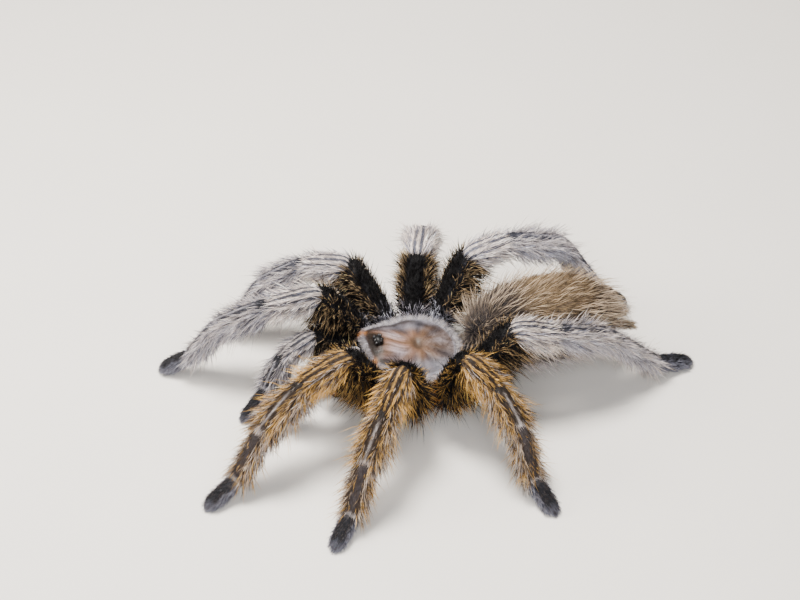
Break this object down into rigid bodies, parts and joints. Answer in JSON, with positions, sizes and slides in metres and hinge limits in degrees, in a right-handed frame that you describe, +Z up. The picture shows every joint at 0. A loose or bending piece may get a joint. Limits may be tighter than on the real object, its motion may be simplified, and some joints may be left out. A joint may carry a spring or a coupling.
{
  "type": "tarantula",
  "caption": "Life-size standing tarantula with spread hairy legs, pinkish brown carapace, paired jaws and fangs, and a large bristly abdomen.",
  "frame": {"origin": "on the floor, under the middle of the whole spider", "axes": "+Z up, the head faces -Y, the spider's left side is +X"},
  "size_m": [0.0952, 0.1172, 0.0286],
  "materials": {
    "femur_coat": "near-black short hair with long gold-tipped bristles",
    "leg_coat": "dark velvet under long cream to golden bristles",
    "foot_pad": "dark blue-grey velvet",
    "carapace_shell": "satin shell under short pinkish sheen hair, with a pale rim",
    "eyes": "glossy black beads",
    "underside_coat": "dark brown short hair",
    "abdomen_coat": "dark brown velvet under long tan bristles",
    "jaw_coat": "pale pinkish cream hair over brown shell",
    "fangs": "polished black"
  },
  "bodies": {
    "root": {"leg_left_1_femur": "femur_coat", "leg_left_1_patella": "leg_coat", "leg_left_1_tibia": "leg_coat", "leg_left_1_metatarsus": "leg_coat", "leg_left_1_tarsus": "foot_pad", "leg_left_2_femur": "femur_coat", "leg_left_2_patella": "leg_coat", "leg_left_2_tibia": "leg_coat", "leg_left_2_metatarsus": "leg_coat", "leg_left_2_tarsus": "foot_pad", "leg_left_3_femur": "femur_coat", "leg_left_3_patella": "leg_coat", "leg_left_3_tibia": "leg_coat", "leg_left_3_metatarsus": "leg_coat", "leg_left_3_tarsus": "foot_pad", "leg_left_4_femur": "femur_coat", "leg_left_4_patella": "leg_coat", "leg_left_4_tibia": "leg_coat", "leg_left_4_metatarsus": "leg_coat", "leg_left_4_tarsus": "foot_pad", "leg_right_1_femur": "femur_coat", "leg_right_1_patella": "leg_coat", "leg_right_1_tibia": "leg_coat", "leg_right_1_metatarsus": "leg_coat", "leg_right_1_tarsus": "foot_pad", "leg_right_2_femur": "femur_coat", "leg_right_2_patella": "leg_coat", "leg_right_2_tibia": "leg_coat", "leg_right_2_metatarsus": "leg_coat", "leg_right_2_tarsus": "foot_pad", "leg_right_3_femur": "femur_coat", "leg_right_3_patella": "leg_coat", "leg_right_3_tibia": "leg_coat", "leg_right_3_metatarsus": "leg_coat", "leg_right_3_tarsus": "foot_pad", "leg_right_4_femur": "femur_coat", "leg_right_4_patella": "leg_coat", "leg_right_4_tibia": "leg_coat", "leg_right_4_metatarsus": "leg_coat", "leg_right_4_tarsus": "foot_pad", "palp_left_femur": "femur_coat", "palp_left_patella": "leg_coat", "palp_left_tibia": "leg_coat", "palp_left_tarsus": "foot_pad", "palp_right_femur": "femur_coat", "palp_right_patella": "leg_coat", "palp_right_tibia": "leg_coat", "palp_right_tarsus": "foot_pad", "carapace": "carapace_shell", "eye_mound": "eyes", "underside": "underside_coat", "abdomen": "abdomen_coat", "chelicera_left": "jaw_coat", "fang_left": "fangs", "spinneret_left": "abdomen_coat", "chelicera_right": "jaw_coat", "fang_right": "fangs", "spinneret_right": "abdomen_coat"}
  },
  "joints": []
}
